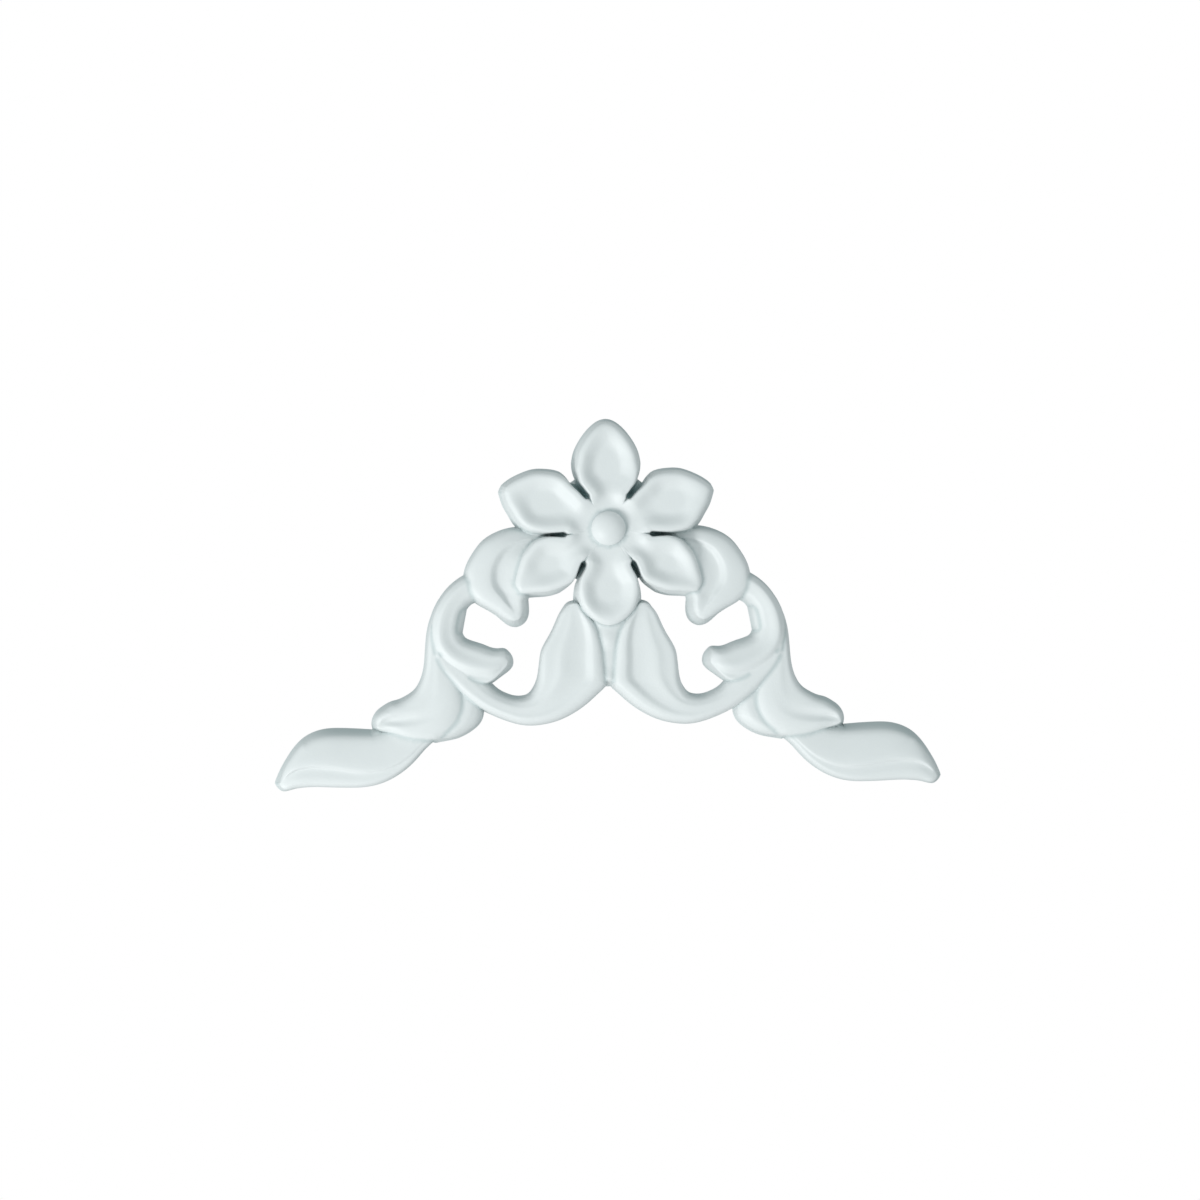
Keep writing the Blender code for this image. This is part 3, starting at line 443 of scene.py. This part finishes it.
# How far inside the rims a point lies: the cube root of one over the sum of the inverse cubes of
# its distances to the six slits, with the petals' edges that go on from them, so that no fold is
# left where two are equally near
inward = np.zeros(plan.shape[:3])
for one, two in zip(plans, plans[1:] + plans[:1]):
    slit = np.vstack([one[:NECK_ROWS - 2:-1, -1], two[NECK_ROWS - 1:, 0]])
    to_edges = edge_distance(plan.reshape(-1, 2), slit).reshape(plan.shape[:3])
    inward += np.maximum(to_edges, LEAST_DISTANCE) ** -3
inward **= -1 / 3
ends = np.array([(s * x, z) for x, z in (SLIT_HIGH, SLIT_MID, SLIT_LOW) for s in (1, -1)])
to_slit = np.linalg.norm(plan[..., None, :] - ends, axis=-1).min(axis=-1)
height = petal_height(plan, distance, inward, to_slit).ravel()
plan = plan.reshape(-1, 2)
# Neighbouring petals share the points of the ridge between them
_, first, same = np.unique(np.round(plan, 4), axis=0, return_index=True, return_inverse=True)
ids = same.reshape(len(around), -1, PETAL_COLUMNS)
rings = [np.concatenate([i[NECK_ROWS - 1:, 0], i[-1, 1:], i[-2:NECK_ROWS - 1:-1, -1]]) for i in ids]
ring = np.concatenate(rings)
hub = np.concatenate([i[0, :-1] for i in ids])
plan, height = np.vstack([plan[first], [[0, 0]]]), np.append(height[first], HUB_RIM)
fan = np.column_stack([np.roll(hub, -1), hub, np.full(len(hub), len(first))])
gap = np.linalg.norm(plan[ring][:, None, :] - ends, axis=2).min(axis=1)
quads = np.concatenate([grid_quads(i) for i in ids])
# The walls stand upright in the slits and lean out from there on
lean = PETAL_SPREAD * np.clip((gap - UPRIGHT_WALL) / LEAN_RUN, 0, 1)
closed_form("flower", plan, height, quads, fan, ring, lean)


def dome(name, radius, base, top, sides, rings):
    """A quarter ellipse turned round the centre, over a wall that goes straight down."""
    turn = np.linspace(0, 2 * math.pi, sides, endpoint=False)
    lift = np.linspace(0, math.pi / 2, rings + 1)[:-1]
    reach = (radius * np.cos(lift))[:, None]
    plan = np.stack([reach * np.cos(turn), reach * np.sin(turn)], -1).reshape(-1, 2)
    height = np.repeat(base + (top - base) * np.sin(lift), sides)
    ids = np.arange(rings * sides).reshape(rings, sides)
    quads = grid_quads(np.hstack([ids, ids[:, :1]]))
    fan = np.column_stack([ids[-1], np.roll(ids[-1], -1), np.full(sides, len(plan))])
    plan, height = np.vstack([plan, [[0, 0]]]), np.append(height, top)
    closed_form(name, plan, height, quads, fan, ids[0, ::-1], np.zeros(sides))


dome("button", BUTTON_RADIUS, BUTTON_SPRING, BUTTON_TOP, sides=96, rings=24)
# A low round plate closes the bottom of the slits
dome("slit_floor", SLIT_PLATE_RADIUS, SLIT_PLATE_EDGE, SLIT_FLOOR, sides=64, rings=2)


# The forms are one casting: they are joined, cut flat along the back, and every crease where two
# of them meet is softened, because resin fills a corner of the mould with a small fillet.
FOLD_ANGLE = 25
FILLET_RINGS = 3
FILLET_PASSES = 6
FILLET_PULL = 0.6
BACK_TOLERANCE = 1e-6
SHARP_ANGLE = 50
# How far the painted shade reaches out from a hollow crease, in metres
CREASE_SHADE_REACH = 0.0007
SLAB_X, SLAB_Y, SLAB_Z = (-0.1, 0.1), (0, 0.005), (-0.08, 0.05)


def numbers(target, name, width, kind):
    """One attribute of a mesh's elements as an array."""
    values = np.empty(len(target) * width, kind)
    target.foreach_get(name, values)
    return values.reshape(-1, width) if width > 1 else values


def boolean(body, operation, other=None, group=None):
    """Adds the join or the cut, between meshes that are all closed."""
    modifier = body.modifiers.new(operation.lower(), "BOOLEAN")
    modifier.operation = operation
    modifier.solver = "MANIFOLD"
    if group:
        modifier.operand_type = "COLLECTION"
        modifier.collection = group
    else:
        modifier.object = other


group = bpy.data.collections.new("forms")
for form in forms[1:]:
    group.objects.link(form)
boolean(forms[0], "UNION", group=group)
# A slab behind the back plane takes away the feet of the forms
corners = np.array([(x, y, z) for x in SLAB_X for y in SLAB_Y for z in SLAB_Z])
slab_mesh = bpy.data.meshes.new("behind_back")
slab_mesh.from_pydata(corners.tolist(), [], [
    (0, 1, 3, 2), (4, 6, 7, 5), (0, 4, 5, 1), (2, 3, 7, 6), (0, 2, 6, 4), (1, 5, 7, 3)])
slab = bpy.data.objects.new("behind_back", slab_mesh)
bpy.context.scene.collection.objects.link(slab)
boolean(forms[0], "DIFFERENCE", other=slab)
graph = bpy.context.evaluated_depsgraph_get()
casting_mesh = bpy.data.meshes.new_from_object(forms[0].evaluated_get(graph))
casting_mesh.name = "applique_fine"
for form in [*forms, slab]:
    bpy.data.objects.remove(form)
applique = bpy.data.objects.new("applique_fine", casting_mesh)
bpy.context.scene.collection.objects.link(applique)


def soften(mesh):
    """Fillets the creases and returns the new points, and those of the hollow creases.

    Points within FILLET_RINGS of an edge that folds by more than FOLD_ANGLE move towards the mean
    of their neighbours, the closest ones the most. The back plane stays flat. A crease is hollow
    where the middle of one face lies in front of the other face.
    """
    points = numbers(mesh.vertices, "co", 3, np.float32).astype(float)
    edges = numbers(mesh.edges, "vertices", 2, np.int32)
    loop_edge = numbers(mesh.loops, "edge_index", 1, np.int32)
    total = numbers(mesh.polygons, "loop_total", 1, np.int32)
    normal = numbers(mesh.polygons, "normal", 3, np.float32).astype(float)
    face = np.repeat(np.arange(len(total)), total)
    order = np.argsort(loop_edge, kind="stable")
    pair = face[order].reshape(-1, 2)
    agreement = np.sum(normal[pair[:, 0]] * normal[pair[:, 1]], axis=1)
    fold = np.degrees(np.arccos(np.clip(agreement, -1, 1)))
    back = points[:, 1] > -BACK_TOLERANCE
    folded = (fold > FOLD_ANGLE) & ~(back[edges].any(axis=1))
    center = numbers(mesh.polygons, "center", 3, np.float32).astype(float)
    across_fold = center[pair[:, 1]] - center[pair[:, 0]]
    hollow = np.sum(normal[pair[:, 0]] * across_fold, axis=1) > 0
    seams = np.unique(edges[folded & hollow])
    weight = np.zeros(len(points))
    weight[edges[folded].ravel()] = 1
    for _ in range(FILLET_RINGS):
        best = np.zeros(len(points))
        np.maximum.at(best, edges[:, 0], weight[edges[:, 1]])
        np.maximum.at(best, edges[:, 1], weight[edges[:, 0]])
        weight = np.maximum(weight, best * FILLET_RINGS / (FILLET_RINGS + 1))
    weight[back] = 0
    count = np.bincount(edges.ravel(), minlength=len(points))[:, None]
    for _ in range(FILLET_PASSES):
        mean = np.zeros_like(points)
        np.add.at(mean, edges[:, 0], points[edges[:, 1]])
        np.add.at(mean, edges[:, 1], points[edges[:, 0]])
        points += FILLET_PULL * weight[:, None] * (mean / count - points)
    mesh.vertices.foreach_set("co", points.ravel().astype(np.float32))
    mesh.update()
    return points, points[seams]


def nearness(points, seams, reach):
    """1 at a seam, falling in an even S to 0 at this distance from the nearest seam point."""
    near = np.empty(len(points))
    parts = max(1, len(points) * len(seams) // PAIRS_AT_ONCE)
    for part in np.array_split(np.arange(len(points)), parts):
        apart = points[part][:, None, :] - seams
        near[part] = np.sqrt(np.sum(apart ** 2, axis=2).min(axis=1))
    return rise(np.clip(1 - near / reach, 0, 1), "round", "round")


points, seams = soften(casting_mesh)
# Each point keeps its share of the painted shade along the hollow creases: 1 at a crease, fading out over
# its reach
crease_shade_attribute = casting_mesh.attributes.new("painted_crease_shade", "FLOAT", "POINT")
crease_shade_attribute.data.foreach_set("value", nearness(points, seams, CREASE_SHADE_REACH).astype(np.float32))
casting_mesh.shade_smooth()
casting_mesh.set_sharp_from_angle(angle=math.radians(SHARP_ANGLE))


# The resin is white with a cool cast and a satin face. It keeps faint clouds of tone and a fine grain from
# the mould. Over that, a blue-grey painted shade darkens the slits, the hollow creases, the foot of the
# walls and the steep edges that face up and to the right, away from the lamp. Depths are along Y in
# metres: 0 is the back plane, less is in front.
PALE, PALER = (0.75, 0.77, 0.77, 1), (0.815, 0.83, 0.83, 1)
# Tones and shares of the painted shade at the foot of the walls, in the hollow creases, on the edges that
# face away from the lamp, and in the slits
FOOT_SHADE_TONE, FOOT_SHADE_SHARE = (0.48, 0.56, 0.565, 1), 0.35
CREASE_SHADE_TONE, CREASE_SHADE_SHARE = (0.36, 0.46, 0.465, 1), 0.4
LEDGE_SHADE_TONE, LEDGE_SHADE_SHARE = (0.30, 0.39, 0.395, 1), 0.55
SLIT_SHADE_TONE = (0.38, 0.52, 0.525, 1)
CLOUD_SCALE, SWELL_SCALE, GRAIN_SCALE = 90.0, 420.0, 2600.0
# Where the painted shade lies: its depths, its radii round the flower, the side it faces and the slopes it
# takes
SLIT_SHADE_DEPTHS, SLIT_SHADE_END_DEPTHS, SLIT_SHADE_RADII = (-0.0064, -0.0034), (-0.0010, -0.0004), (0.0070, 0.0125)
FOOT_SHADE_DEPTHS, FOOT_SHADE_END_DEPTHS = (-0.0042, -0.0006), (-0.0004, -0.0001)
SHADED_SIDE, SHADED_SLOPES, LEDGE_SHADE_DEPTHS = (0.40, 0, 0.92), (0.60, 1.0), (-0.0056, -0.0036)
ROUGHNESS, CLOUD_ROUGHNESS, GRAIN_ROUGHNESS = 0.43, 0.08, 0.05
GRAIN_RELIEF, SWELL_RELIEF, RELIEF_STRENGTH, RELIEF_HEIGHT = 0.35, 0.65, 0.12, 0.0004
RESIN_IOR = 1.46


class Wire:
    """A shader socket that ordinary arithmetic can be written with."""

    def __init__(self, tree, socket):
        self.tree, self.socket = tree, socket

    def node(self, kind, settings=None, values=None, out=0):
        """Any node: its settings first, then the values or links of its inputs."""
        made = self.tree.nodes.new(kind)
        for name, value in (settings or {}).items():
            setattr(made, name, value)
        for name, value in (values or {}).items():
            if isinstance(value, Wire):
                self.tree.links.new(value.socket, made.inputs[name])
            else:
                made.inputs[name].default_value = value
        return Wire(self.tree, made.outputs[out])

    def math(self, operation, a, b):
        """A Math node on two values or wires."""
        return self.node("ShaderNodeMath", {"operation": operation}, {0: a, 1: b})

    def __add__(self, other):
        return self.math("ADD", self, other)

    def __sub__(self, other):
        return self.math("SUBTRACT", self, other)

    def __rsub__(self, other):
        return self.math("SUBTRACT", other, self)

    def __mul__(self, other):
        return self.math("MULTIPLY", self, other)

    __radd__, __rmul__ = __add__, __mul__

    def between(self, low, high):
        """0 below the low value, 1 above the high one, an even S in between."""
        return self.node("ShaderNodeMapRange", {"interpolation_type": "SMOOTHSTEP"},
                         {"Value": self, "From Min": low, "From Max": high})

    def blend(self, one, two):
        """A colour between two others, where this value says."""
        return self.node("ShaderNodeMix", {"data_type": "RGBA"}, {0: self, 6: one, 7: two}, 2)


resin = bpy.data.materials.new("white_resin")
resin.use_nodes = True
tree = resin.node_tree
shader = tree.nodes["Principled BSDF"]
place = Wire(tree, None).node("ShaderNodeTexCoord", out="Object")


def noise(scale, detail):
    """Noise on the piece's own coordinates, from 0 to 1."""
    return place.node("ShaderNodeTexNoise", {}, {"Vector": place, "Scale": scale, "Detail": detail}, "Fac")


clouds, grain, swell = noise(CLOUD_SCALE, 3.0), noise(GRAIN_SCALE, 2.0), noise(SWELL_SCALE, 2.0)
depth = place.node("ShaderNodeSeparateXYZ", {}, {0: place}, "Y")
flat_place = place.node("ShaderNodeVectorMath", {"operation": "MULTIPLY"}, {0: place, 1: (1, 0, 1)})
radial = place.node("ShaderNodeVectorMath", {"operation": "LENGTH"}, {0: flat_place}, "Value")
# Painted shade in the slits between the petals, deep in front of the back plane and within the flower's
# reach
slit = depth.between(*SLIT_SHADE_DEPTHS) * (1 - depth.between(*SLIT_SHADE_END_DEPTHS))
slit = slit * (1 - radial.between(*SLIT_SHADE_RADII))
# Painted shade at the foot of the walls, close to the back plane
painted_foot_shade = depth.between(*FOOT_SHADE_DEPTHS) * (1 - depth.between(*FOOT_SHADE_END_DEPTHS))
# Painted shade along the hollow creases where two forms meet
crease = place.node("ShaderNodeAttribute", {"attribute_name": "painted_crease_shade"}, out="Fac")
# Painted shade on the steep edges that face up and to the right, away from the lamp
facing = place.node("ShaderNodeTexCoord", out="Normal")
facing_shaded_side = facing.node(
    "ShaderNodeVectorMath", {"operation": "DOT_PRODUCT"}, {0: facing, 1: SHADED_SIDE}, "Value")
ledge_shade = facing_shaded_side.between(*SHADED_SLOPES) * depth.between(*LEDGE_SHADE_DEPTHS)
tone = clouds.blend(PALE, PALER)
# The painted shade is laid over the clouded tone: at the foot of the walls, in the creases, on the edges
# facing away from the lamp, and in the slits
tone = (painted_foot_shade * FOOT_SHADE_SHARE).blend(tone, FOOT_SHADE_TONE)
tone = (crease * CREASE_SHADE_SHARE).blend(tone, CREASE_SHADE_TONE)
tone = (ledge_shade * LEDGE_SHADE_SHARE).blend(tone, LEDGE_SHADE_TONE)
tone = slit.blend(tone, SLIT_SHADE_TONE)
rough = ROUGHNESS + CLOUD_ROUGHNESS * clouds + GRAIN_ROUGHNESS * grain
relief = grain * GRAIN_RELIEF + swell * SWELL_RELIEF
bump = relief.node("ShaderNodeBump", {}, {
    "Height": relief, "Strength": RELIEF_STRENGTH, "Distance": RELIEF_HEIGHT}, "Normal")
tree.links.new(tone.socket, shader.inputs["Base Color"])
tree.links.new(rough.socket, shader.inputs["Roughness"])
tree.links.new(bump.socket, shader.inputs["Normal"])
shader.inputs["IOR"].default_value = RESIN_IOR
casting_mesh.materials.clear()
casting_mesh.materials.append(resin)
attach(applique, "root")
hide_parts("applique")


# The ornament hangs clear over a plain pale floor, in soft light from the lower left. The camera
# stands in front of it, a little to the left.
FLOOR_DEPTH, FLOOR_RADIUS, FLOOR_SIDES = 1.0, 2, 96
FLOOR_COLOUR, FLOOR_ROUGHNESS = (0.85, 0.85, 0.85, 1), 0.8
AIR_COLOUR, SEEN_COLOUR = (0.895, 0.99, 1.0, 1), (1, 1, 1, 1)
BRIGHT_SIDE, GLOW_MEAN, GLOW_RANGE = (-0.60, -0.50, -0.62), 0.655, 0.18
LAMP_SPOT, LAMP_SIZE, LAMP_POWER = (-0.50, -0.52, -0.42), 0.26, 3.6
LAMP_AIM = (0, 0, -0.013)
EYE_AIM, EYE_DISTANCE = (-0.0016, -0.005, -0.0133), 0.8
EYE_TURN, EYE_ROLL = math.radians(3.0), math.radians(0.6)
SENSOR_WIDTH, VIEW_DISTANCE, VIEW_WIDTH = 36, 805, 224.7
NEAREST_SEEN = 0.01

around_floor = np.linspace(0, 2 * math.pi, FLOOR_SIDES, endpoint=False)
floor_points = np.column_stack([
    FLOOR_RADIUS * np.cos(around_floor), FLOOR_RADIUS * np.sin(around_floor),
    np.full(FLOOR_SIDES, -FLOOR_DEPTH)])
floor_mesh = bpy.data.meshes.new("floor")
floor_mesh.from_pydata(floor_points.tolist(), [], [list(range(FLOOR_SIDES))])
floor = bpy.data.objects.new("floor", floor_mesh)
bpy.context.scene.collection.objects.link(floor)
paint = bpy.data.materials.new("pale_floor")
paint.use_nodes = True
paint.node_tree.nodes["Principled BSDF"].inputs["Base Color"].default_value = FLOOR_COLOUR
paint.node_tree.nodes["Principled BSDF"].inputs["Roughness"].default_value = FLOOR_ROUGHNESS
floor_mesh.materials.append(paint)

# The air glows, brightest from the lower left, and looks plain white behind the ornament
world = bpy.data.worlds.new("white_room")
bpy.context.scene.world = world
world.use_nodes = True
air = Wire(world.node_tree, None)
seen = air.node("ShaderNodeLightPath", out="Is Camera Ray")
background = world.node_tree.nodes["Background"]
world.node_tree.links.new(seen.blend(AIR_COLOUR, SEEN_COLOUR).socket, background.inputs["Color"])
sky = air.node("ShaderNodeTexCoord", out="Generated")
side_light = sky.node(
    "ShaderNodeVectorMath", {"operation": "DOT_PRODUCT"}, {0: sky, 1: BRIGHT_SIDE}, "Value")
glow = GLOW_MEAN + GLOW_RANGE * side_light
world.node_tree.links.new((seen + (1 - seen) * glow).socket, background.inputs["Strength"])

# A square lamp at the lower left, turned to the middle of the ornament
lamp = bpy.data.lights.new("lamp_low_left", "AREA")
lamp.size = LAMP_SIZE
lamp.energy = LAMP_POWER
lamp_item = bpy.data.objects.new("lamp_low_left", lamp)
lamp_item.location = LAMP_SPOT
away = np.array(LAMP_SPOT) - np.array(LAMP_AIM)
lamp_lift = math.atan2(away[2], np.hypot(away[0], away[1]))
lamp_item.rotation_euler = (math.pi / 2 - lamp_lift, 0, math.atan2(away[0], -away[1]))
bpy.context.scene.collection.objects.link(lamp_item)

eye = bpy.data.objects.new("camera", bpy.data.cameras.new("camera"))
eye.location = (
    EYE_AIM[0] - EYE_DISTANCE * math.sin(EYE_TURN), EYE_AIM[1] - EYE_DISTANCE * math.cos(EYE_TURN),
    EYE_AIM[2])
eye.rotation_euler = (math.pi / 2, EYE_ROLL, -EYE_TURN)
eye.data.lens = SENSOR_WIDTH * VIEW_DISTANCE / VIEW_WIDTH
eye.data.clip_start = NEAREST_SEEN
bpy.context.scene.collection.objects.link(eye)
bpy.context.scene.camera = eye
bpy.context.scene.view_settings.view_transform = "Standard"
